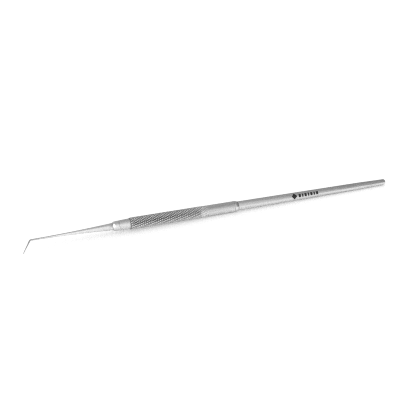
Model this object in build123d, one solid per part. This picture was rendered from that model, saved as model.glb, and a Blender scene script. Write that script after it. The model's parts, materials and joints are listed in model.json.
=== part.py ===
"""Single-ended dental explorer lying at rest on a table, in millimetres.

The pieces are turned about a common axis, which runs along +X from the bend of the needle
(x = 0) to the tail. At the end they are laid down together: the handle rests on two of its
rims, so it dips slightly towards the tail, and it is rolled until the needle's point touches
the table. The row's origin is the centre of the footprint, with the table at z = 0.
"""
from build123d import *
from math import asin, atan2, cos, degrees, radians, sin, tan
import os

# Needle and shank (one hardened piece)
BEND_ANGLE = 58.0            # how far the needle turns away from the shank
BEND_RADIUS = 0.7            # along the middle of the wire
NEEDLE_LENGTH = 5.85         # from the bend's corner to the point
NEEDLE_DIAMETER = 0.6        # at the bend
POINT_DIAMETER = 0.2         # just behind the rounded point
SHANK_LENGTH = 31.5          # from the bend's corner to the collar
SHANK_MIDDLE_DIAMETER = 1.36
SHANK_BASE_DIAMETER = 3.0
TANG_DIAMETER = 2.0
TANG_LENGTH = 14.0           # inside the collar and the grip

# Collar between the shank and the grip
COLLAR_LENGTH = 2.7
COLLAR_DIAMETER = 4.2
COLLAR_FACE_DIAMETER = 3.3   # where the rounded shoulder begins
COLLAR_EDGE = 0.1            # chamfer at the joint line

# Grip
NOSE_LENGTH = 4.2
NOSE_FRONT_DIAMETER = 4.18
NOSE_REAR_DIAMETER = 4.5
KNURL_DIAMETER = 5.0         # over the crests
KNURL_LENGTH = 32.7
KNURL_LEAD_IN = 1.0          # bevel at the front of the knurl
KNURL_RUN_OUT = 0.6          # bevel from the knurl to the sleeve
SLEEVE_DIAMETER = 4.9
SLEEVE_LENGTH = 14.5
GRIP_EDGE = 0.08             # chamfers on the grip's two end faces

# Ring between the grip and the tail rod
RING_LENGTH = 1.8
RING_BAND = 0.4              # cylindrical part of the ring
RING_EDGE = 0.08             # chamfer at the joint line
RING_REAR_DIAMETER = 4.3
RING_CROWN = 0.05            # how far the ring's bevel bulges

# Tail rod
ROD_FRONT_DIAMETER = 4.1
ROD_REAR_DIAMETER = 3.5      # where the end taper begins
ROD_LENGTH = 65.6
ROD_EDGE = 0.12              # chamfer next to the ring
TAIL_LENGTH = 17.2
TAIL_DIAMETER = 2.9
TAIL_EDGE_RADIUS = 0.5
SPIGOT_DIAMETER = 2.6
SPIGOT_LENGTH = 14.0         # inside the ring and the grip

# Fits
BRAZE_GAP = 0.02             # radial gap round the tang and the spigot
BORE_END_GAP = 0.3           # free length behind the tang and the spigot

# Stations along the axis
COLLAR_X = SHANK_LENGTH
NOSE_X = COLLAR_X + COLLAR_LENGTH
KNURL_X = NOSE_X + NOSE_LENGTH
SLEEVE_X = KNURL_X + KNURL_LENGTH
RING_X = SLEEVE_X + SLEEVE_LENGTH
ROD_X = RING_X + RING_LENGTH
TAIL_X = ROD_X + ROD_LENGTH
END_X = TAIL_X + TAIL_LENGTH


def turned(outline):
    """Solid of revolution about X from a closed outline in the XY plane, with y >= 0."""
    return revolve(make_face(outline), Axis.X, 360)


def drilled(solid, diameter, start, end):
    """The solid with a coaxial hole from one station to another."""
    length = end - start
    drill = Cylinder(diameter / 2 + BRAZE_GAP, length, rotation=(0, 90, 0))
    return solid - Pos((start + end) / 2, 0, 0) * drill


def front_rims():
    """Station and radius of the rims ahead of the middle that the handle can lie on."""
    return [(SLEEVE_X, KNURL_DIAMETER / 2), (RING_X + RING_BAND, SLEEVE_DIAMETER / 2)]


def rear_rims():
    """Station and radius of the rims behind the middle that the handle can lie on."""
    return [(TAIL_X, ROD_REAR_DIAMETER / 2), (END_X, TAIL_DIAMETER / 2)]


def rest_tilt():
    """How far the handle dips towards its tail when it lies on two of its rims, in radians."""
    return max(
        min(atan2(front_r - rear_r, rear_x - front_x) for rear_x, rear_r in rear_rims())
        for front_x, front_r in front_rims()
    )


def needle_roll(tilt):
    """Roll of the needle below the horizontal at which its point touches the table, in radians."""
    bend = radians(BEND_ANGLE)
    reach = NEEDLE_LENGTH - POINT_DIAMETER / 2
    bend_height = max(x * sin(tilt) + r * cos(tilt) for x, r in front_rims())
    drop = bend_height + reach * cos(bend) * sin(tilt) - POINT_DIAMETER / 2
    return asin(drop / (reach * sin(bend) * cos(tilt)))


def explorer_tip(roll):
    """Needle, bend, flared shank and the tang that is brazed into the grip."""
    needle_r = NEEDLE_DIAMETER / 2
    point_r = POINT_DIAMETER / 2
    bend_reach = BEND_RADIUS * tan(radians(BEND_ANGLE) / 2)
    tang_end = COLLAR_X + TANG_LENGTH
    flare = ThreePointArc(
        (bend_reach, needle_r),
        ((bend_reach + COLLAR_X) / 2, SHANK_MIDDLE_DIAMETER / 2),
        (COLLAR_X, SHANK_BASE_DIAMETER / 2),
    )
    rest = Polyline(
        (COLLAR_X, SHANK_BASE_DIAMETER / 2),
        (COLLAR_X, TANG_DIAMETER / 2),
        (tang_end, TANG_DIAMETER / 2),
        (tang_end, 0),
        (bend_reach, 0),
        (bend_reach, needle_r),
    )
    shank = turned([flare, rest])

    # The needle is bent in the XY plane towards -Y, about a line above the shank's end.
    bend_axis = Axis((bend_reach, -BEND_RADIUS, 0), (0, 0, 1))
    wire_end = Plane(origin=(bend_reach, 0, 0), x_dir=(0, 1, 0), z_dir=(1, 0, 0)) * Circle(needle_r)
    bend = revolve(wire_end, bend_axis, BEND_ANGLE)

    straight = NEEDLE_LENGTH - bend_reach
    cone = [
        Polyline((0, 0), (0, needle_r), (straight - point_r, point_r)),
        ThreePointArc(
            (straight - point_r, point_r),
            (straight - point_r * (1 - sin(radians(45))), point_r * sin(radians(45))),
            (straight, 0),
        ),
        Line((straight, 0), (0, 0)),
    ]
    needle = Rot(0, 0, 180 + BEND_ANGLE) * (Pos(bend_reach, 0, 0) * turned(cone))
    tip = shank + bend + needle
    return Rot(degrees(roll), 0, 0) * tip


def nose_collar():
    """Ring with a rounded shoulder, which covers the joint of shank and grip."""
    shoulder_length = COLLAR_LENGTH - COLLAR_EDGE
    rise = (COLLAR_DIAMETER - COLLAR_FACE_DIAMETER) / 2
    bore_r = TANG_DIAMETER / 2 + BRAZE_GAP
    shoulder = EllipticalCenterArc(
        (COLLAR_X + shoulder_length, COLLAR_FACE_DIAMETER / 2),
        shoulder_length,
        rise,
        start_angle=90,
        arc_size=90,
    )
    rest = Polyline(
        (COLLAR_X, COLLAR_FACE_DIAMETER / 2),
        (COLLAR_X, bore_r),
        (NOSE_X, bore_r),
        (NOSE_X, COLLAR_DIAMETER / 2 - COLLAR_EDGE),
        (COLLAR_X + shoulder_length, COLLAR_DIAMETER / 2),
    )
    return turned([shoulder, rest])


def knurled_grip():
    """Nose cone, knurled stretch and smooth sleeve, bored at both ends."""
    outline = Polyline(
        (NOSE_X, 0),
        (NOSE_X, NOSE_FRONT_DIAMETER / 2 - GRIP_EDGE),
        (NOSE_X + GRIP_EDGE, NOSE_FRONT_DIAMETER / 2),
        (KNURL_X, NOSE_REAR_DIAMETER / 2),
        (KNURL_X + KNURL_LEAD_IN, KNURL_DIAMETER / 2),
        (SLEEVE_X - KNURL_RUN_OUT, KNURL_DIAMETER / 2),
        (SLEEVE_X, SLEEVE_DIAMETER / 2),
        (RING_X - GRIP_EDGE, SLEEVE_DIAMETER / 2),
        (RING_X, SLEEVE_DIAMETER / 2 - GRIP_EDGE),
        (RING_X, 0),
        (NOSE_X, 0),
    )
    body = turned(outline)
    body = drilled(body, TANG_DIAMETER, NOSE_X, COLLAR_X + TANG_LENGTH + BORE_END_GAP)
    return drilled(body, SPIGOT_DIAMETER, ROD_X - SPIGOT_LENGTH - BORE_END_GAP, RING_X)


def rear_ring():
    """Ring with a narrow band and a crowned bevel, which covers the joint of grip and rod."""
    bore_r = SPIGOT_DIAMETER / 2 + BRAZE_GAP
    band_end = RING_X + RING_BAND
    bevel = ThreePointArc(
        (band_end, SLEEVE_DIAMETER / 2),
        ((band_end + ROD_X) / 2, (SLEEVE_DIAMETER + RING_REAR_DIAMETER) / 4 + RING_CROWN),
        (ROD_X, RING_REAR_DIAMETER / 2),
    )
    rest = Polyline(
        (ROD_X, RING_REAR_DIAMETER / 2),
        (ROD_X, bore_r),
        (RING_X, bore_r),
        (RING_X, SLEEVE_DIAMETER / 2 - RING_EDGE),
        (RING_X + RING_EDGE, SLEEVE_DIAMETER / 2),
        (band_end, SLEEVE_DIAMETER / 2),
    )
    return turned([bevel, rest])


def tail_rod():
    """Long tapered rod with a rounded end, and the spigot that is brazed into the grip."""
    spigot_x = ROD_X - SPIGOT_LENGTH
    outline = Polyline(
        (spigot_x, 0),
        (spigot_x, SPIGOT_DIAMETER / 2),
        (ROD_X, SPIGOT_DIAMETER / 2),
        (ROD_X, ROD_FRONT_DIAMETER / 2 - ROD_EDGE),
        (ROD_X + ROD_EDGE, ROD_FRONT_DIAMETER / 2),
        (TAIL_X, ROD_REAR_DIAMETER / 2),
        (END_X, TAIL_DIAMETER / 2),
        (END_X, 0),
        (spigot_x, 0),
    )
    rod = turned(outline)
    end_rim = rod.edges().filter_by(GeomType.CIRCLE).sort_by(Axis.X)[-1]
    return fillet(end_rim, TAIL_EDGE_RADIUS)


def laid_down(pieces, tilt):
    """The pieces dipped towards the tail, over the row's origin, with the lowest point at z = 0."""
    dip = Rot(0, degrees(tilt), 0)
    box = Compound([dip * piece for piece in pieces.values()]).bounding_box()
    place = Pos(-box.center().X, -box.center().Y, -box.min.Z) * dip
    return place, {name: place * piece for name, piece in pieces.items()}


def main():
    os.makedirs("parts", exist_ok=True)
    tilt = rest_tilt()
    roll = needle_roll(tilt)
    pieces = {
        "explorer_tip": explorer_tip(roll),
        "nose_collar": nose_collar(),
        "knurled_grip": knurled_grip(),
        "rear_ring": rear_ring(),
        "tail_rod": tail_rod(),
    }
    place, pieces = laid_down(pieces, tilt)
    for name, piece in pieces.items():
        export_step(piece, f"parts/{name}.step")
    sleeve_middle = place * Pos((SLEEVE_X + RING_X) / 2, 0, 0)
    tail_end = place * Pos(END_X, 0, 0)
    print(f"dip {degrees(tilt):.5f} degrees, roll {degrees(roll):.3f} degrees")
    print(f"middle of the sleeve {tuple(sleeve_middle.position)}")
    print(f"middle of the tail's end face {tuple(tail_end.position)}")


main()
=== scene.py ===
"""A dental explorer in turned, knurled and brushed stainless steel, at rest on a pale table.

The pieces are modelled on a bench of their own: one unit there is a millimetre, the handle's axis
is the X axis, the corner of the needle's bend is the origin and the needle is bent towards -Y.
set_down() then puts a finished mesh in its place in the row frame, in metres.
"""
import json
from math import atan2, cos, pi, radians, sin, sqrt, tan

import bmesh
import bpy
from mathutils import Matrix, Vector


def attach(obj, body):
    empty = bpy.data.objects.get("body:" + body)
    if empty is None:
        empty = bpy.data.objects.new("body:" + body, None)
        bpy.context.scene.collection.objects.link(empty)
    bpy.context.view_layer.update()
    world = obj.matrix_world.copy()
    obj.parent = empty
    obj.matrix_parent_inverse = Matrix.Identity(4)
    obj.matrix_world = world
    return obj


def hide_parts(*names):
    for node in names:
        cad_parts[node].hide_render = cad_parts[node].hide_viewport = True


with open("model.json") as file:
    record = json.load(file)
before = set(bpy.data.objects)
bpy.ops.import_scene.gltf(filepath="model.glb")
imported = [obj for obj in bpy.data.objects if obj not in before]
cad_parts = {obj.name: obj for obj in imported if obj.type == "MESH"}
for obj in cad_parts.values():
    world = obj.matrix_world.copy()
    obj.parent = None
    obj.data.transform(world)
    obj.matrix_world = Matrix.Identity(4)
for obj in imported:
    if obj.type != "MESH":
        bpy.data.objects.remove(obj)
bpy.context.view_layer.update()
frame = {"nodes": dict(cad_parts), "record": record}

MM = 0.001

# Needle and shank, in millimetres
SHANK_LENGTH = 31.5
SHANK_BASE_RADIUS = 1.5
SHANK_MIDDLE_RADIUS = 0.68
NEEDLE_RADIUS = 0.3
NEEDLE_LENGTH = 5.85
NEEDLE_BEND = radians(58)
BEND_RADIUS = 0.7
POINT_RADIUS = 0.1
POINT_RINGS = (18, 36, 54, 70, 84)    # degrees round the rounded point
TANG_RADIUS = 1.0
TANG_LENGTH = 14.0
TIP_SIDES = 48
SHANK_STEPS = 16
BEND_STEPS = 12
NEEDLE_STEPS = 8

# Collar; its shoulder is given as reach behind the face, and radius
COLLAR_FACE_RADIUS = 1.6
COLLAR_SHOULDER = (
    (0.06, 1.64),
    (0.2, 1.715),
    (0.38, 1.81),
    (0.54, 1.885),
    (0.68, 1.94),
    (0.82, 1.975),
    (1.1, 2.0),
    (1.7, 2.038),
    (2.2, 2.072),
)
COLLAR_RADIUS = 2.1
COLLAR_EDGE = 0.1
BORE_PLAY = 0.02

# Grip
NOSE_FRONT_RADIUS = 2.09
NOSE_REAR_RADIUS = 2.25
NOSE_LENGTH = 4.2
GRIP_EDGE = 0.08
SLEEVE_RADIUS = 2.45
BORE_END_PLAY = 0.3

# Knurl
KNURL_RADIUS = 2.5
KNURL_LENGTH = 32.7
KNURL_LEAD_IN = 1.0
KNURL_STARTS = 18
KNURL_PITCH = 1.595
KNURL_ROWS = 22
KNURL_STEPS = 5          # how many heights the pyramids come in, from the ends to full
KNURL_FLANK = 0.21       # width of a pyramid's flank
KNURL_DEPTH = 0.237      # groove depth, up to the crest's softened edge
CREST_EDGE = 0.035
TOOTH_REACH = 0.7        # length of the first row's teeth, as a share of half a pitch
KITE_START = 0.1         # where the kites between them start, as the same share
KITE_FLANK = 0.17        # flanks of the kites, which the lead-in cuts low
KITE_SHY = 0.01          # how far the kites' backs stay under the full crests
KITE_MIDDLE_REACH = 0.1  # how close to its row's middle a kite's own middle lies
PAST_KITES = 0.6         # a diamond centred behind this share of the pitch isn't a kite
DIAMOND_AREA = 0.3       # square millimetres: a flank is smaller, an unraised diamond is larger
DENSE_SHORT = 0.8        # the deep grooves have faded out this far before the dense part's end
DENSE_FADE = 0.6         # length over which they fade
FAINT_DEPTH = 0.35       # depth of the faint marks behind the dense part
CREST_LIMIT = 1.4        # power that keeps the crests of the run-out under the full ones
RUN_OUT_WAVES = ((0.35, 2, 0.6), (0.25, 5, 0.0))    # reach, waves round the handle, phase

# Ring behind the grip
RING_BAND = 0.4
RING_EDGE = 0.08
RING_REAR_RADIUS = 2.15
RING_CROWN = 0.11

# Tail rod
ROD_FRONT_RADIUS = 2.05
ROD_REAR_RADIUS = 1.75
ROD_EDGE = 0.12
TAIL_LENGTH = 17.2
TAIL_RADIUS = 1.45
TAIL_ROUNDING = 0.5
SPIGOT_RADIUS = 1.3
SPIGOT_LENGTH = 14.0

# Etched mark on the rod: a lozenge, and bars given by middle (from the lozenge) and length
MARK_X = 116.2
MARK_RISE = radians(28)
LOZENGE_LENGTH = 3.0
LOZENGE_TURN = 1.6       # radians round the rod, as the next one
BAR_TURN = 0.8
MARK_BARS = ((2.9, 1.2), (4.5, 0.8), (6.1, 1.2), (7.7, 0.8), (9.3, 1.2), (10.9, 0.8), (12.5, 1.2))

# Modelling by hand
SIDES = 72
ARC_STEPS = 8
NEAR = 0.01              # how close to a station a vertex counts as on it
ROW_REACH = 0.06         # the same, for the vertices of the knurl's planed first row
ROOT_CLEAR = 0.05        # how far over the groove floor a vertex counts as raised
SEAM = 0.001             # vertices closer than this are merged
FINE_SEAM = 0.0005       # the same, on the needle and shank
EASE = 0.03              # widths of the eased edges
FINE_EASE = 0.02
CRISP = radians(25)      # edges sharper than this are eased
SMOOTH = radians(30)     # edges flatter than this are shaded smooth

# Brightness and roughness of the four steels, each as its lowest and highest
TIP_BRIGHTNESS = (0.54, 0.62)
TIP_ROUGHNESS = (0.34, 0.44)
TURNED_BRIGHTNESS = (0.54, 0.64)
TURNED_ROUGHNESS = (0.13, 0.2)
HANDLE_BRIGHTNESS = (0.52, 0.62)
GRIP_ROUGHNESS = (0.22, 0.36)
ROD_ROUGHNESS = (0.24, 0.38)

# What changes them from place to place
NOISE_SPAN = (0.3, 0.7)       # where most of a noise lies
# Painted shade: the fine needle's colour is darkened towards its point, for the darker surroundings it
# reflects
NEEDLE_PAINTED_SHADE = 0.64           # brightness of the fine needle against the shank's foot
NEEDLE_PAINTED_SHADE_X = (-1.0, 14.0) # stations between which it grows to full
TIP_FINENESS = 9.0
TURNING_FINENESS = 9.0
HANDLE_FINENESS = 6.0
POLISH_DEPTH = 0.003          # millimetres, as the next two
TURNING_DEPTH = 0.004
BRUSHING_DEPTH = 0.005
CLOUD_ROUGHNESS = 0.05        # added where the metal is cloudy
TURNED_CLOUD_ROUGHNESS = 0.06
GROOVE_ROUGHNESS = 0.2
MARK_ROUGHNESS = 0.25
SCRATCH_DARKNESS = 0.05
# Painted shade in the knurl's grooves: darker, and rougher, the deeper they are
GROOVE_START = (-0.05, 0.15)  # from the knurl's front, where the grooves start to be dull
GROOVE_SPAN = (2.46, 2.27)    # radii from an unshaded flank down to a groove floor in full painted shade
GROOVE_SHADE = (0.8, 0.6)      # how much the grooves are darkened, in front and where the dense part ends
GROOVE_SHADE_START = 12.0      # where it starts to lessen, from the knurl's front
MARK_DARKNESS = 0.93
LOZENGE_EDGE = 0.06           # soft edge of the lozenge, as a share of its half length
MARK_EDGE = 0.04              # soft edge of the bars: half its width along the rod, all of it round it

# Table and room; the room's ramps run over the X of a direction, or over its nearness to the camera
TABLE_SIZE = 30          # metres
TABLE_IN_METAL = 0.82    # the table's colour, as the metal reflects it
TABLE_SEEN = 0.39        # its colour and its painted glow, as seen directly, which lightens the shadows on it
TABLE_PAINTED_GLOW = 0.43
TABLE_ROUGHNESS = 0.9
TABLE_SHINE = 0.1
ROOM_BACK = 0.58
ROOM_NEAR = 1.3
ROOM_LEFT = 1.3
ROOM_RIGHT = 0.6
ROOM_PAST_NEEDLE = 0.55  # share of the light that remains straight beyond the needle
ROOM_SEEN = 1.05
ROOM_ON_TABLE = 1.68
PANEL_GLOW = 1.3
ROOM_NEAR_SPAN = (0.1, 1.0)
ROOM_SIDE_SPAN = (-0.2, 0.75)
PAST_NEEDLE_SPAN = (-0.95, -0.6)
PANEL_NEAR_SPAN = (0.25, 0.45)
PANEL_RIGHT_EDGE = (-0.17, -0.27)
PANEL_LEFT_EDGE = (-0.92, -0.75)

# Camera
CAMERA_FROM_BEND = Vector((-0.0021, -0.17261, 0.08603))
CAMERA_HEADING = radians(22.58)
CAMERA_DIP = radians(23.446)
CAMERA_LENS = 43.09
CAMERA_CLIP_START = 0.01
FILTER_WIDTH = 1.2


# ---------------------------------------------------------------- the bench and the row frame

def bench_matrix():
    """Takes bench millimetres to the row frame, from the tail's end face and the needle's point."""
    tail_end = next(m for m in frame["record"]["mounts"] if m["name"] == "tail_end")
    along = Vector(tail_end["axis"]).normalized()
    end = Vector(tail_end["pos_m"])
    from_end = [v.co - end for v in frame["nodes"]["explorer_tip"].data.vertices]
    across = [v - along * v.dot(along) for v in from_end]
    side = -max(across, key=lambda v: v.length).normalized()
    collar_face = min((v.co - end).dot(along) for v in frame["nodes"]["nose_collar"].data.vertices)
    origin = end + along * (collar_face - SHANK_LENGTH * MM)
    turn = Matrix((along, side, along.cross(side))).transposed()
    return Matrix.Translation(origin) @ turn.to_4x4() @ Matrix.Scale(MM, 4)


BENCH = bench_matrix()


def span(node_name):
    """The first and last station of a CAD node along the axis, in bench millimetres."""
    to_bench = BENCH.inverted()
    stations = [(to_bench @ v.co).x for v in frame["nodes"][node_name].data.vertices]
    return min(stations), max(stations)


COLLAR_X, NOSE_X = span("nose_collar")
RING_X, ROD_X = span("rear_ring")
END_X = span("tail_rod")[1]
KNURL_X = NOSE_X + NOSE_LENGTH
KNURL_END = KNURL_X + KNURL_ROWS * KNURL_PITCH
DENSE_END = KNURL_X + KNURL_LENGTH
TAIL_X = END_X - TAIL_LENGTH

# Painted shade at the joints, a dark line in the gap or step where two pieces meet: station, reach to each
# side and depth
SHADED_JOINTS = (
    (COLLAR_X, 0.12, 0.5),
    (NOSE_X, 0.14, 0.15),
    (RING_X, 0.16, 0.35),
    (ROD_X - 0.05, 0.28, 0.55),
)


def set_down(piece, material, slot, *nodes):
    """Puts a finished piece in its place in the row frame, riding on the body of its CAD node."""
    only(piece)
    piece.data.materials.append(material)
    piece.matrix_world = BENCH
    bpy.ops.object.transform_apply(location=True, rotation=True, scale=True)
    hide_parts(*nodes)
    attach(piece, "root")


# ---------------------------------------------------------------- modelling by hand

def nothing_selected():
    """Leaves edit mode and deselects everything."""
    if bpy.context.object and bpy.context.object.mode != "OBJECT":
        bpy.ops.object.mode_set(mode="OBJECT")
    bpy.ops.object.select_all(action="DESELECT")


def only(piece):
    """Selects one object and nothing else."""
    nothing_selected()
    piece.select_set(True)
    bpy.context.view_layer.objects.active = piece


def open_ring(name, station, radius, sides=SIDES):
    """Starts a turned piece as a bare circle round the axis, left selected in edit mode."""
    nothing_selected()
    bpy.ops.mesh.primitive_circle_add(
        vertices=sides, radius=radius, fill_type="NOTHING", location=(station, 0, 0), rotation=(0, pi / 2, 0)
    )
    piece = bpy.context.object
    piece.name = name
    piece.data.name = name
    bpy.ops.object.transform_apply(location=True, rotation=True, scale=True)
    bpy.ops.object.mode_set(mode="EDIT")
    bpy.ops.mesh.select_all(action="SELECT")
    return piece


def widen(station, grow):
    """Scales what is selected away from the axis or towards it."""
    bpy.ops.transform.resize(value=(1, grow, grow), center_override=(station, 0, 0))


def draw_out(outline, station, radius):
    """Extrudes the selected ring from station to station, each time to the next radius."""
    for next_station, next_radius in outline:
        bpy.ops.mesh.extrude_region_move(
            TRANSFORM_OT_translate={"value": (next_station - station, 0, 0)}
        )
        widen(next_station, next_radius / radius)
        station, radius = next_station, next_radius


def close_up(threshold):
    """Merges seams, fills open ends and turns every face outwards."""
    bpy.ops.mesh.select_all(action="SELECT")
    bpy.ops.mesh.remove_doubles(threshold=threshold)
    bpy.ops.mesh.fill_holes(sides=0)
    bpy.ops.mesh.normals_make_consistent(inside=False)


def turned(name, outline):
    """A turned piece from its outline. One that ends where it began is a ring with a bore."""
    (station, radius), *rest = outline
    piece = open_ring(name, station, radius)
    draw_out(rest, station, radius)
    close_up(SEAM)
    return piece


def ease_edges(piece, width):
    """Rounds the crisp edges a little, and shades the rest smooth."""
    only(piece)
    bpy.ops.object.modifier_add(type="BEVEL")
    bevel = piece.modifiers[-1]
    bevel.width = width
    bevel.segments = 2
    bevel.limit_method = "ANGLE"
    bevel.angle_limit = CRISP
    bpy.ops.object.modifier_apply(modifier=bevel.name)
    bpy.ops.object.shade_smooth_by_angle(angle=SMOOTH)


def pick(piece, kind, test):
    """Selects the vertices, edges or faces that pass the test, and nothing else."""
    bpy.ops.mesh.select_mode(type=kind)
    bpy.ops.mesh.select_all(action="DESELECT")
    mesh = bmesh.from_edit_mesh(piece.data)
    for part in {"VERT": mesh.verts, "EDGE": mesh.edges, "FACE": mesh.faces}[kind]:
        if test(part):
            part.select_set(True)
    mesh.select_flush_mode()
    bmesh.update_edit_mesh(piece.data)


def picked(piece):
    """The vertices now selected."""
    return [v for v in bmesh.from_edit_mesh(piece.data).verts if v.select]


def arc(start, middle, end, steps):
    """Points on the circle through three points, from just after the start to the end."""
    (ax, ay), (bx, by), (cx, cy) = start, middle, end
    d = 2 * (ax * (by - cy) + bx * (cy - ay) + cx * (ay - by))
    a2, b2, c2 = ax * ax + ay * ay, bx * bx + by * by, cx * cx + cy * cy
    ux = (a2 * (by - cy) + b2 * (cy - ay) + c2 * (ay - by)) / d
    uy = (a2 * (cx - bx) + b2 * (ax - cx) + c2 * (bx - ax)) / d
    radius = sqrt((ax - ux) ** 2 + (ay - uy) ** 2)
    first, last = atan2(ay - uy, ax - ux), atan2(cy - uy, cx - ux)
    if last - first > pi:
        last -= 2 * pi
    if first - last > pi:
        last += 2 * pi
    angles = [first + (last - first) * k / steps for k in range(1, steps + 1)]
    return [(ux + radius * cos(a), uy + radius * sin(a)) for a in angles]


# ---------------------------------------------------------------- the pieces

def make_tip():
    """Tang, flared shank, bend and needle, drawn out of one ring from the tang forwards."""
    tang_end = COLLAR_X + TANG_LENGTH
    bend_reach = BEND_RADIUS * tan(NEEDLE_BEND / 2)
    foot = (COLLAR_X, SHANK_BASE_RADIUS)
    waist = ((COLLAR_X + bend_reach) / 2, SHANK_MIDDLE_RADIUS)
    wire = (bend_reach, NEEDLE_RADIUS)
    tip = open_ring("explorer_shank_and_needle", tang_end, TANG_RADIUS, TIP_SIDES)
    outline = [(COLLAR_X, TANG_RADIUS), foot, *arc(foot, waist, wire, SHANK_STEPS)]
    draw_out(outline, tang_end, TANG_RADIUS)
    bpy.ops.mesh.spin(
        steps=BEND_STEPS, angle=-NEEDLE_BEND, center=(bend_reach, -BEND_RADIUS, 0), axis=(0, 0, 1)
    )
    draw_out_needle(bend_reach)
    close_up(FINE_SEAM)
    ease_edges(tip, EASE)
    return tip


def draw_out_needle(bend_reach):
    """Extrudes the ring at the end of the bend down the needle, and round its point."""
    heading = Vector((-cos(NEEDLE_BEND), -sin(NEEDLE_BEND), 0))
    place = heading * bend_reach
    straight = NEEDLE_LENGTH - bend_reach - POINT_RADIUS
    thinning = POINT_RADIUS - NEEDLE_RADIUS
    shares = [k / NEEDLE_STEPS for k in range(1, NEEDLE_STEPS + 1)]
    rings = [(straight * share, NEEDLE_RADIUS + thinning * share) for share in shares]
    rounding = map(radians, POINT_RINGS)
    rings += [(straight + POINT_RADIUS * sin(a), POINT_RADIUS * cos(a)) for a in rounding]
    gone, radius = 0, NEEDLE_RADIUS
    for reach, next_radius in rings:
        bpy.ops.mesh.extrude_region_move(
            TRANSFORM_OT_translate={"value": heading * (reach - gone)}
        )
        grow = next_radius / radius
        bpy.ops.transform.resize(value=(grow, grow, grow), center_override=place + heading * reach)
        gone, radius = reach, next_radius


def make_collar():
    """Ring with a rounded shoulder towards the shank, closed on itself round its bore."""
    bore = TANG_RADIUS + BORE_PLAY
    outline = [(COLLAR_X, bore), (COLLAR_X, COLLAR_FACE_RADIUS)]
    outline += [(COLLAR_X + reach, radius) for reach, radius in COLLAR_SHOULDER]
    outline += [(NOSE_X - COLLAR_EDGE, COLLAR_RADIUS)]
    outline += [(NOSE_X, COLLAR_RADIUS - COLLAR_EDGE), (NOSE_X, bore), (COLLAR_X, bore)]
    collar = turned("collar", outline)
    ease_edges(collar, EASE)
    return collar


def run_out(station):
    """How deep the grooves are: full nearly to the dense part's end, then faint, then nothing."""
    faint = max(0.0, min(1.0, (KNURL_END - station) / (KNURL_END - DENSE_END)))
    dense = max(0.0, min(1.0, (DENSE_END - DENSE_SHORT - station) / DENSE_FADE))
    return FAINT_DEPTH * faint + (1 - FAINT_DEPTH) * dense


def knurl_root(station):
    """Radius at the bottom of the grooves, which grow shallow where the knurl runs out."""
    return SLEEVE_RADIUS - run_out(station) * (SLEEVE_RADIUS - NOSE_REAR_RADIUS)


def relief(station, angle):
    """How fully the knurl stands at a place: less on the lead-in, and running out unevenly behind."""
    lead_in = (station - KNURL_X) / KNURL_LEAD_IN
    waver = sum(reach * sin(waves * angle + phase) for reach, waves, phase in RUN_OUT_WAVES)
    half = KNURL_PITCH / 2
    base = (knurl_root(station - half) + knurl_root(station + half)) / 2
    room = (KNURL_RADIUS - base) / (KNURL_RADIUS - NOSE_REAR_RADIUS)
    return min(max(0.0, lead_in), run_out(station + waver), room ** CREST_LIMIT)


def place_of(face):
    """A face's station along the axis and its angle round it."""
    middle = face.calc_center_median()
    return middle.x, atan2(middle.z, middle.y)


def raise_pyramids(level):
    """Raises each selected diamond to a blunt pyramid with a softened crest."""
    bpy.ops.mesh.inset(thickness=KNURL_FLANK * level, depth=KNURL_DEPTH * level, use_individual=True)
    bpy.ops.mesh.inset(thickness=CREST_EDGE, depth=CREST_EDGE / 3, use_individual=True)


def cut_knurl(grip):
    """Diamonds between the crossing grooves, each raised as far as the knurl stands there."""
    half = KNURL_PITCH / 2
    bpy.ops.mesh.select_all(action="SELECT")
    bpy.ops.mesh.poke()
    middles = [KNURL_X + KNURL_PITCH * (row + 0.5) for row in range(KNURL_ROWS)]
    pick(grip, "VERT", lambda v: min(abs(v.co.x - m) for m in middles) < NEAR)
    widen(KNURL_X, 1 / cos(pi / KNURL_STARTS))

    def not_slanting(edge):
        reach = abs(edge.verts[0].co.x - edge.verts[1].co.x)
        return not edge.is_boundary and abs(reach - half) > NEAR

    pick(grip, "EDGE", not_slanting)
    bpy.ops.mesh.dissolve_edges(use_verts=False)
    bevel_front(grip)
    behind_kites = KNURL_X + PAST_KITES * KNURL_PITCH
    for step in range(1, KNURL_STEPS + 1):

        def at_step(face):
            station, angle = place_of(face)
            is_diamond = station > behind_kites and face.calc_area() > DIAMOND_AREA
            return is_diamond and round(relief(station, angle) * KNURL_STEPS) == step

        pick(grip, "FACE", at_step)
        raise_pyramids(step / KNURL_STEPS)


def at_radius(grip, station, above, radius, slide=0.0):
    """Moves the vertices near a station and outside a radius to a new one, and along the axis."""
    pick(grip, "VERT", lambda v: abs(v.co.x - station) < ROW_REACH and v.co.yz.length > above)
    chosen = [v.co.yz.length for v in picked(grip)]
    widen(station, radius * len(chosen) / sum(chosen))
    bpy.ops.transform.translate(value=(slide, 0, 0))


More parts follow.
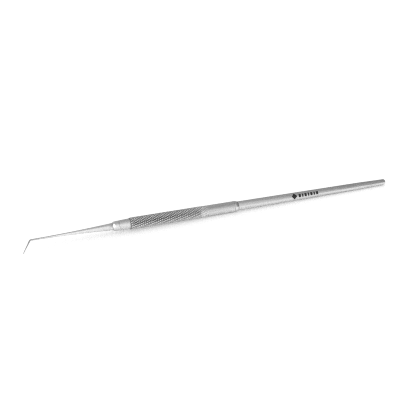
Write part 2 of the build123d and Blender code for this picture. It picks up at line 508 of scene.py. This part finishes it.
def bevel_front(grip):
    """The knurl's first row, planed to the lead-in: teeth from the front ring, and kites between."""
    half = KNURL_PITCH / 2
    slope = (KNURL_RADIUS - NOSE_REAR_RADIUS) / KNURL_LEAD_IN
    above_root = NOSE_REAR_RADIUS + ROOT_CLEAR
    pick(grip, "FACE", lambda f: len(f.verts) == 3 and f.calc_center_median().x < KNURL_X + half)
    bpy.ops.mesh.poke()
    tooth = TOOTH_REACH * half
    at_radius(grip, KNURL_X + half / 3, 0, NOSE_REAR_RADIUS + slope * tooth, tooth - half / 3)

    def is_kite(face):
        middle = face.calc_center_median().x
        return len(face.verts) == 4 and abs(middle - KNURL_X - half) < KITE_MIDDLE_REACH

    pick(grip, "FACE", is_kite)
    bpy.ops.mesh.inset(thickness=KITE_FLANK, depth=KITE_FLANK, use_individual=True)
    inside = [v.co.x for v in picked(grip)]
    front, back = min(inside), max(inside)
    kite = KITE_START * half
    at_radius(grip, front, above_root, NOSE_REAR_RADIUS + slope * kite, KNURL_X + kite - front)
    at_radius(grip, KNURL_X + half, above_root, NOSE_REAR_RADIUS + slope * half)
    at_radius(grip, back, above_root, KNURL_RADIUS - KITE_SHY)


def round_off_end(grip, station, radius):
    """Divides the knurl's last coarse ring and brings it to a true circle, left selected."""
    pick(grip, "EDGE", lambda e: e.is_boundary and all(abs(v.co.x - station) < NEAR for v in e.verts))
    bpy.ops.mesh.subdivide(number_cuts=SIDES // KNURL_STARTS - 1)
    pick(grip, "VERT", lambda v: v.is_boundary and abs(v.co.x - station) < NEAR)
    bpy.ops.transform.tosphere(value=1)
    widen(station, radius / max(v.co.yz.length for v in picked(grip)))


def make_grip():
    """Knurled band, drawn out forwards to the bored nose and backwards to the bored sleeve."""
    nose_bore = TANG_RADIUS + BORE_PLAY
    nose_bore_end = COLLAR_X + TANG_LENGTH + BORE_END_PLAY
    rear_bore = SPIGOT_RADIUS + BORE_PLAY
    rear_bore_end = ROD_X - SPIGOT_LENGTH - BORE_END_PLAY
    grip = open_ring("grip", KNURL_X, NOSE_REAR_RADIUS, KNURL_STARTS)
    stations = [KNURL_X + KNURL_PITCH * row for row in range(1, KNURL_ROWS + 1)]
    draw_out([(x, knurl_root(x)) for x in stations], KNURL_X, NOSE_REAR_RADIUS)
    bpy.ops.mesh.select_all(action="SELECT")
    bpy.ops.mesh.flip_normals()
    cut_knurl(grip)
    round_off_end(grip, KNURL_X, NOSE_REAR_RADIUS)
    nose = [(NOSE_X + GRIP_EDGE, NOSE_FRONT_RADIUS), (NOSE_X, NOSE_FRONT_RADIUS - GRIP_EDGE)]
    draw_out([*nose, (NOSE_X, nose_bore), (nose_bore_end, nose_bore)], KNURL_X, NOSE_REAR_RADIUS)
    bpy.ops.mesh.edge_face_add()
    round_off_end(grip, KNURL_END, SLEEVE_RADIUS)
    rear = [(RING_X - GRIP_EDGE, SLEEVE_RADIUS), (RING_X, SLEEVE_RADIUS - GRIP_EDGE)]
    draw_out([*rear, (RING_X, rear_bore), (rear_bore_end, rear_bore)], KNURL_END, SLEEVE_RADIUS)
    bpy.ops.mesh.edge_face_add()
    bpy.ops.mesh.select_all(action="SELECT")
    bpy.ops.mesh.normals_make_consistent(inside=False)
    pick(grip, "EDGE", lambda e: all(abs(v.co.x - KNURL_X) < NEAR for v in e.verts))
    bpy.ops.mesh.mark_sharp()
    bpy.ops.object.mode_set(mode="OBJECT")
    bpy.ops.object.shade_smooth_by_angle(angle=SMOOTH)
    return grip


def make_ring():
    """Narrow band behind the sleeve, with a crowned bevel down to the rod."""
    bore = SPIGOT_RADIUS + BORE_PLAY
    band_end = RING_X + RING_BAND
    band = (band_end, SLEEVE_RADIUS)
    foot = (ROD_X, RING_REAR_RADIUS)
    crown = ((band_end + ROD_X) / 2, (SLEEVE_RADIUS + RING_REAR_RADIUS) / 2 + RING_CROWN)
    outline = [(RING_X, bore), (RING_X, SLEEVE_RADIUS - RING_EDGE), (RING_X + RING_EDGE, SLEEVE_RADIUS), band]
    outline += [*arc(band, crown, foot, ARC_STEPS), (ROD_X, bore), (RING_X, bore)]
    ring = turned("rear_ring_band", outline)
    ease_edges(ring, EASE)
    return ring


def make_rod():
    """Spigot, long tapered rod, and the stronger taper of the tail with its rounded end."""
    spigot_x = ROD_X - SPIGOT_LENGTH
    outline = [(spigot_x, SPIGOT_RADIUS), (ROD_X, SPIGOT_RADIUS), (ROD_X, ROD_FRONT_RADIUS - ROD_EDGE)]
    outline += [(ROD_X + ROD_EDGE, ROD_FRONT_RADIUS), (TAIL_X, ROD_REAR_RADIUS)]
    slope = (ROD_REAR_RADIUS - TAIL_RADIUS) / TAIL_LENGTH
    turn_x = END_X - TAIL_ROUNDING
    turn_r = TAIL_RADIUS + slope * TAIL_ROUNDING
    outline += [(turn_x, turn_r)]
    for step in range(1, ARC_STEPS + 1):
        a = pi / 2 * step / ARC_STEPS
        outline.append((turn_x + TAIL_ROUNDING * sin(a), turn_r - TAIL_ROUNDING * (1 - cos(a))))
    rod = turned("tail_rod_tapered", outline)
    ease_edges(rod, FINE_EASE)
    return rod


# ---------------------------------------------------------------- nodes

def node(tree, kind, inputs=None, **settings):
    """Adds a shader node; an input is given a plain value, or an output to be joined to."""
    made = tree.nodes.new(kind)
    for name, value in settings.items():
        setattr(made, name, value)
    for name, value in (inputs or {}).items():
        if isinstance(value, bpy.types.NodeSocket):
            tree.links.new(value, made.inputs[name])
        else:
            made.inputs[name].default_value = value
    return made


def sums(tree, operation, a, b=0.0):
    """One step of arithmetic."""
    return node(tree, "ShaderNodeMath", {0: a, 1: b}, operation=operation).outputs[0]


def plus(tree, a, b):
    """One value added to another."""
    return sums(tree, "ADD", a, b)


def minus(tree, a, b):
    """The second value taken from the first."""
    return sums(tree, "SUBTRACT", a, b)


def times(tree, a, b):
    """One value multiplied by another."""
    return sums(tree, "MULTIPLY", a, b)


def away(tree, a, b):
    """How far one value is from another."""
    return sums(tree, "ABSOLUTE", minus(tree, a, b))


def darkened(tree, brightness, mask, depth):
    """Brightness taken down by a share of itself where the mask is full."""
    return times(tree, brightness, minus(tree, 1.0, times(tree, mask, depth)))


def ramp(tree, value, low, high, to_low=0.0, to_high=1.0):
    """Brings a value from one range to another, held at both ends, with a soft step between."""
    inputs = {"Value": value, "From Min": low, "From Max": high, "To Min": to_low, "To Max": to_high}
    return node(tree, "ShaderNodeMapRange", inputs, interpolation_type="SMOOTHSTEP").outputs[0]


def spread(tree, noise, lowest_and_highest):
    """Brings a noise to a range."""
    return ramp(tree, noise, *NOISE_SPAN, *lowest_and_highest)


def new_group(name, inputs, outputs):
    """An empty node group; inputs is {name: default}, outputs is {name: socket type}."""
    tree = bpy.data.node_groups.new(name, "ShaderNodeTree")
    for label, default in inputs.items():
        kind = "NodeSocketVector" if default is None else "NodeSocketFloat"
        socket = tree.interface.new_socket(label, in_out="INPUT", socket_type=kind)
        if default is not None:
            socket.default_value = default
    for label, kind in outputs.items():
        tree.interface.new_socket(label, in_out="OUTPUT", socket_type=kind)
    return tree, tree.nodes.new("NodeGroupInput").outputs, tree.nodes.new("NodeGroupOutput").inputs


def stretched_noise(tree, place, stretch, scale, detail):
    """Noise drawn out along one direction or another."""
    pulled = node(tree, "ShaderNodeVectorMath", {0: place, 1: stretch}, operation="MULTIPLY").outputs[0]
    return node(tree, "ShaderNodeTexNoise", {"Vector": pulled, "Scale": scale, "Detail": detail}).outputs[0]


def grey(tree, value):
    """A neutral colour of the given brightness."""
    return node(tree, "ShaderNodeCombineColor", {"Red": value, "Green": value, "Blue": value}).outputs[0]


# ---------------------------------------------------------------- effects the steels share

def make_bench_place():
    """Where a point is on the bench, in millimetres: along the axis, round it and out from it."""
    number = "NodeSocketFloat"
    outputs = {"Place": "NodeSocketVector", "Along": number, "Turn": number, "Radius": number}
    tree, _, out = new_group("place on the handle", {}, outputs)
    coords = node(tree, "ShaderNodeTexCoord").outputs["Object"]
    bench = {"Location": BENCH.translation, "Rotation": BENCH.to_euler(), "Scale": (MM, MM, MM)}
    mapping = node(tree, "ShaderNodeMapping", {"Vector": coords, **bench}, vector_type="TEXTURE").outputs[0]
    split = node(tree, "ShaderNodeSeparateXYZ", {0: mapping}).outputs
    squares = plus(tree, times(tree, split["Y"], split["Y"]), times(tree, split["Z"], split["Z"]))
    tree.links.new(mapping, out["Place"])
    tree.links.new(split["X"], out["Along"])
    tree.links.new(sums(tree, "ARCTAN2", split["Z"], split["Y"]), out["Turn"])
    tree.links.new(sums(tree, "SQRT", squares), out["Radius"])
    return tree


def make_brushing():
    """Fine and broad streaks along the handle, as a belt leaves them."""
    outputs = {"Streaks": "NodeSocketFloat", "Bands": "NodeSocketFloat"}
    tree, given, out = new_group("brushed lengthwise", {"Place": None, "Fineness": 6.0}, outputs)
    fine = stretched_noise(tree, given["Place"], (0.03, 1, 1), given["Fineness"], 4.0)
    broad = stretched_noise(tree, given["Place"], (0.02, 1, 1), 1.3, 2.0)
    tree.links.new(fine, out["Streaks"])
    tree.links.new(broad, out["Bands"])
    return tree


def make_turning():
    """Close rings round the axis, as a lathe tool leaves them."""
    inputs = {"Along": 0.0, "Fineness": 9.0}
    tree, given, out = new_group("turned rings", inputs, {"Rings": "NodeSocketFloat"})
    values = {"W": given["Along"], "Scale": given["Fineness"], "Detail": 3.0}
    rings = node(tree, "ShaderNodeTexNoise", values, noise_dimensions="1D")
    tree.links.new(rings.outputs[0], out["Rings"])
    return tree


def make_handling():
    """Hairline scratches and cloudy patches from being handled and wiped."""
    outputs = {"Scratches": "NodeSocketFloat", "Clouds": "NodeSocketFloat"}
    tree, given, out = new_group("handling", {"Place": None}, outputs)
    values = {"Vector": given["Place"], "Rotation": (0.4, 0.5, 0.9)}
    slanting = node(tree, "ShaderNodeMapping", values).outputs[0]
    hair = stretched_noise(tree, slanting, (0.12, 1, 1), 7.0, 2.0)
    values = {"Vector": given["Place"], "Scale": 0.35, "Detail": 4.0}
    clouds = node(tree, "ShaderNodeTexNoise", values).outputs[0]
    tree.links.new(ramp(tree, hair, 0.66, 0.74), out["Scratches"])
    tree.links.new(ramp(tree, clouds, 0.35, 0.65), out["Clouds"])
    return tree


def make_joint_shade():
    """A dark line of painted shade round the handle, in the gap or step where two pieces meet."""
    inputs = {"Along": 0.0, "Station": 0.0, "Reach": 0.1}
    tree, given, out = new_group("painted joint shade", inputs, {"Line": "NodeSocketFloat"})
    reaches = sums(tree, "DIVIDE", away(tree, given["Along"], given["Station"]), given["Reach"])
    tree.links.new(minus(tree, 1.0, ramp(tree, reaches, 0.5, 1.0)), out["Line"])
    return tree


BENCH_PLACE = make_bench_place()
BRUSHING = make_brushing()
TURNING = make_turning()
HANDLING = make_handling()
JOINT_SHADE = make_joint_shade()


def effect(tree, group_tree, inputs=None):
    """Places a node group in a material and gives its outputs."""
    return node(tree, "ShaderNodeGroup", inputs, node_tree=group_tree).outputs


# ---------------------------------------------------------------- steels

def steel(name):
    """An empty metal material, with the bench place and the handling marks at hand."""
    material = bpy.data.materials.new(name)
    material.use_nodes = True
    tree = material.node_tree
    tree.nodes.clear()
    shader = tree.nodes.new("ShaderNodeBsdfPrincipled")
    shader.inputs["Metallic"].default_value = 1.0
    output = tree.nodes.new("ShaderNodeOutputMaterial")
    tree.links.new(shader.outputs[0], output.inputs["Surface"])
    place = effect(tree, BENCH_PLACE)
    handling = effect(tree, HANDLING, {"Place": place["Place"]})
    return material, tree, shader, place, handling


def with_joint_shade(tree, brightness, place):
    """Darkens the metal with painted shade where two pieces meet."""
    for station, reach, depth in SHADED_JOINTS:
        inputs = {"Along": place["Along"], "Station": station, "Reach": reach}
        brightness = darkened(tree, brightness, effect(tree, JOINT_SHADE, inputs)["Line"], depth)
    return brightness


def finish_with(tree, shader, brightness, roughness, height, depth):
    """Joins the worked-out brightness, roughness and surface height to the metal."""
    tree.links.new(grey(tree, brightness), shader.inputs["Base Color"])
    tree.links.new(roughness, shader.inputs["Roughness"])
    bump = node(tree, "ShaderNodeBump", {"Height": height, "Strength": 1.0, "Distance": depth * MM})
    tree.links.new(bump.outputs[0], shader.inputs["Normal"])


def tip_steel():
    """Hardened and finely polished, with painted shade darker towards the needle, and faint draw marks."""
    material, tree, shader, place, handling = steel("polished tip steel")
    brushed = effect(tree, BRUSHING, {"Place": place["Place"], "Fineness": TIP_FINENESS})
    brightness = spread(tree, brushed["Bands"], TIP_BRIGHTNESS)
    # Painted shade: darker towards the needle's point
    brightness = times(tree, brightness, ramp(tree, place["Along"], *NEEDLE_PAINTED_SHADE_X, NEEDLE_PAINTED_SHADE, 1.0))
    roughness = spread(tree, brushed["Streaks"], TIP_ROUGHNESS)
    roughness = plus(tree, roughness, times(tree, handling["Clouds"], CLOUD_ROUGHNESS))
    finish_with(tree, shader, brightness, roughness, brushed["Streaks"], POLISH_DEPTH)
    return material


def turned_steel():
    """Fresh off the lathe: rings round the axis, with painted shade in dark lines at the edges."""
    material, tree, shader, place, handling = steel("turned steel")
    rings = effect(tree, TURNING, {"Along": place["Along"], "Fineness": TURNING_FINENESS})["Rings"]
    brightness = with_joint_shade(tree, spread(tree, rings, TURNED_BRIGHTNESS), place)
    roughness = spread(tree, rings, TURNED_ROUGHNESS)
    roughness = plus(tree, roughness, times(tree, handling["Clouds"], TURNED_CLOUD_ROUGHNESS))
    finish_with(tree, shader, brightness, roughness, rings, TURNING_DEPTH)
    return material


def knurled_steel():
    """Grooves rougher and darkened with painted shade, crests left at full brightness, nose and sleeve
    brushed.
    """
    material, tree, shader, place, handling = steel("knurled steel")
    brushed = effect(tree, BRUSHING, {"Place": place["Place"], "Fineness": HANDLE_FINENESS})
    behind_nose = ramp(tree, place["Along"], *(KNURL_X + reach for reach in GROOVE_START))
    in_knurl = times(tree, behind_nose, ramp(tree, place["Along"], KNURL_END, DENSE_END))
    # Painted shade: the grooves darkened by their depth, less towards the dense part's end
    groove = times(tree, in_knurl, ramp(tree, place["Radius"], *GROOVE_SPAN))
    groove_shade = ramp(tree, place["Along"], KNURL_X + GROOVE_SHADE_START, DENSE_END, *GROOVE_SHADE)
    brightness = darkened(tree, spread(tree, brushed["Bands"], HANDLE_BRIGHTNESS), groove, groove_shade)
    brightness = minus(tree, brightness, times(tree, handling["Scratches"], SCRATCH_DARKNESS))
    # Painted shade in dark lines where the pieces meet
    brightness = with_joint_shade(tree, brightness, place)
    roughness = spread(tree, brushed["Streaks"], GRIP_ROUGHNESS)
    roughness = plus(tree, roughness, times(tree, groove, GROOVE_ROUGHNESS))
    roughness = plus(tree, roughness, times(tree, handling["Clouds"], CLOUD_ROUGHNESS))
    finish_with(tree, shader, brightness, roughness, brushed["Streaks"], BRUSHING_DEPTH)
    return material


def etched_bar(tree, place, middle, length, turn, width):
    """Mask of one small upright bar: its middle and length along the rod, its place and width round it."""
    along = away(tree, place["Along"], middle)
    across = away(tree, place["Turn"], turn)
    in_length = ramp(tree, along, length / 2 + MARK_EDGE, length / 2 - MARK_EDGE)
    in_width = ramp(tree, across, (width + MARK_EDGE) / 2, (width - MARK_EDGE) / 2)
    return times(tree, in_length, in_width)


def etched_lozenge(tree, place, middle, length, turn, width):
    """Mask of a small plain lozenge."""
    along = sums(tree, "DIVIDE", away(tree, place["Along"], middle), length / 2)
    across = sums(tree, "DIVIDE", away(tree, place["Turn"], turn), width / 2)
    return ramp(tree, plus(tree, along, across), 1 + LOZENGE_EDGE, 1 - LOZENGE_EDGE)


def rod_steel():
    """Brushed lengthwise, with a small plain etched mark: a lozenge and a row of short bars."""
    material, tree, shader, place, handling = steel("brushed rod steel")
    brushed = effect(tree, BRUSHING, {"Place": place["Place"], "Fineness": HANDLE_FINENESS})
    facing = BENCH.to_3x3().inverted() @ Vector((0, -cos(MARK_RISE), sin(MARK_RISE)))
    turn = atan2(facing.z, facing.y)
    mark = etched_lozenge(tree, place, MARK_X, LOZENGE_LENGTH, turn, LOZENGE_TURN)
    for middle, length in MARK_BARS:
        bar = etched_bar(tree, place, MARK_X + middle, length, turn, BAR_TURN)
        mark = sums(tree, "MAXIMUM", mark, bar)
    brightness = spread(tree, brushed["Bands"], HANDLE_BRIGHTNESS)
    brightness = minus(tree, brightness, times(tree, handling["Scratches"], SCRATCH_DARKNESS))
    # Painted shade in dark lines where the pieces meet
    brightness = with_joint_shade(tree, brightness, place)
    brightness = darkened(tree, brightness, mark, MARK_DARKNESS)
    roughness = spread(tree, brushed["Streaks"], ROD_ROUGHNESS)
    roughness = plus(tree, roughness, times(tree, handling["Clouds"], CLOUD_ROUGHNESS))
    roughness = plus(tree, roughness, times(tree, mark, MARK_ROUGHNESS))
    finish_with(tree, shader, brightness, roughness, brushed["Streaks"], BRUSHING_DEPTH)
    return material


# ---------------------------------------------------------------- table, light and camera

def lay_table():
    """A wide pale table, white to the eye through a painted glow that lightens its shadows, with its own
    plain colour in the metal.
    """
    nothing_selected()
    bpy.ops.mesh.primitive_plane_add(size=TABLE_SIZE, location=(0, 0, 0))
    table = bpy.context.object
    table.name = "table"
    material = bpy.data.materials.new("pale table")
    material.use_nodes = True
    tree = material.node_tree
    shader = tree.nodes["Principled BSDF"]
    # Painted light: the camera sees the table darker but glowing evenly, which lightens the shadows cast on
    # it; the metal reflects it plain
    seen = node(tree, "ShaderNodeLightPath").outputs["Is Camera Ray"]
    colour = ramp(tree, seen, 0.0, 1.0, TABLE_IN_METAL, TABLE_SEEN)
    glow = ramp(tree, seen, 0.0, 1.0, 0.0, TABLE_PAINTED_GLOW)
    tree.links.new(grey(tree, colour), shader.inputs["Base Color"])
    tree.links.new(grey(tree, glow), shader.inputs["Emission Color"])
    shader.inputs["Emission Strength"].default_value = 1.0
    shader.inputs["Roughness"].default_value = TABLE_ROUGHNESS
    shader.inputs["Specular IOR Level"].default_value = TABLE_SHINE
    table.data.materials.append(material)


def light_studio():
    """A soft room, brighter on the near side and the needle's side, with a broad bright panel there."""
    world = bpy.data.worlds.new("studio")
    bpy.context.scene.world = world
    world.use_nodes = True
    tree = world.node_tree
    tree.nodes.clear()
    way = node(tree, "ShaderNodeTexCoord").outputs["Generated"]
    near = (-sin(CAMERA_HEADING), -cos(CAMERA_HEADING), 0)
    nearness = node(tree, "ShaderNodeVectorMath", {0: way, 1: near}, operation="DOT_PRODUCT").outputs["Value"]
    side = node(tree, "ShaderNodeSeparateXYZ", {0: way}).outputs["X"]
    panel = ramp(tree, nearness, *PANEL_NEAR_SPAN, 0.0, PANEL_GLOW)
    for edge in (PANEL_RIGHT_EDGE, PANEL_LEFT_EDGE):
        panel = times(tree, panel, ramp(tree, side, *edge))
    glow = plus(tree, ramp(tree, nearness, *ROOM_NEAR_SPAN, ROOM_BACK, ROOM_NEAR), panel)
    left, right = ROOM_SIDE_SPAN
    sides = node(tree, "ShaderNodeMapRange", {
        "Value": side, "From Min": left, "From Max": right, "To Min": ROOM_LEFT, "To Max": ROOM_RIGHT,
    }).outputs[0]
    sides = times(tree, sides, ramp(tree, side, *PAST_NEEDLE_SPAN, ROOM_PAST_NEEDLE, 1.0))
    strength = times(tree, glow, sides)
    ray = node(tree, "ShaderNodeLightPath").outputs
    for kind, plain in (("Is Diffuse Ray", ROOM_ON_TABLE), ("Is Camera Ray", ROOM_SEEN)):
        inputs = {0: ray[kind], 2: strength, 3: plain}
        strength = node(tree, "ShaderNodeMix", inputs, data_type="FLOAT").outputs[0]
    background = node(tree, "ShaderNodeBackground", {"Color": (1, 1, 1, 1), "Strength": strength})
    output = node(tree, "ShaderNodeOutputWorld")
    tree.links.new(background.outputs[0], output.inputs["Surface"])
    world.cycles.sampling_method = "NONE"


def set_up_camera():
    """The camera, placed from the corner of the needle's bend."""
    data = bpy.data.cameras.new("camera")
    camera = bpy.data.objects.new("camera", data)
    bpy.context.scene.collection.objects.link(camera)
    data.lens = CAMERA_LENS
    data.clip_start = CAMERA_CLIP_START
    camera.location = BENCH.translation + CAMERA_FROM_BEND
    camera.rotation_euler = (pi / 2 - CAMERA_DIP, 0, -CAMERA_HEADING)
    bpy.context.scene.camera = camera


# A plain view transform, and film settings that keep the knurl crisp
bpy.context.scene.view_settings.view_transform = "Standard"
bpy.context.scene.cycles.filter_width = FILTER_WIDTH
bpy.context.scene.cycles.use_denoising = False

TIP_STEEL = tip_steel()
TURNED_STEEL = turned_steel()
KNURLED_STEEL = knurled_steel()
ROD_STEEL = rod_steel()

set_down(make_tip(), TIP_STEEL, "polished_tip_steel", "explorer_tip")
set_down(make_collar(), TURNED_STEEL, "turned_steel", "nose_collar")
set_down(make_grip(), KNURLED_STEEL, "knurled_steel", "knurled_grip")
set_down(make_ring(), TURNED_STEEL, "turned_steel", "rear_ring")
set_down(make_rod(), ROD_STEEL, "brushed_rod_steel", "tail_rod")
lay_table()
light_studio()
set_up_camera()
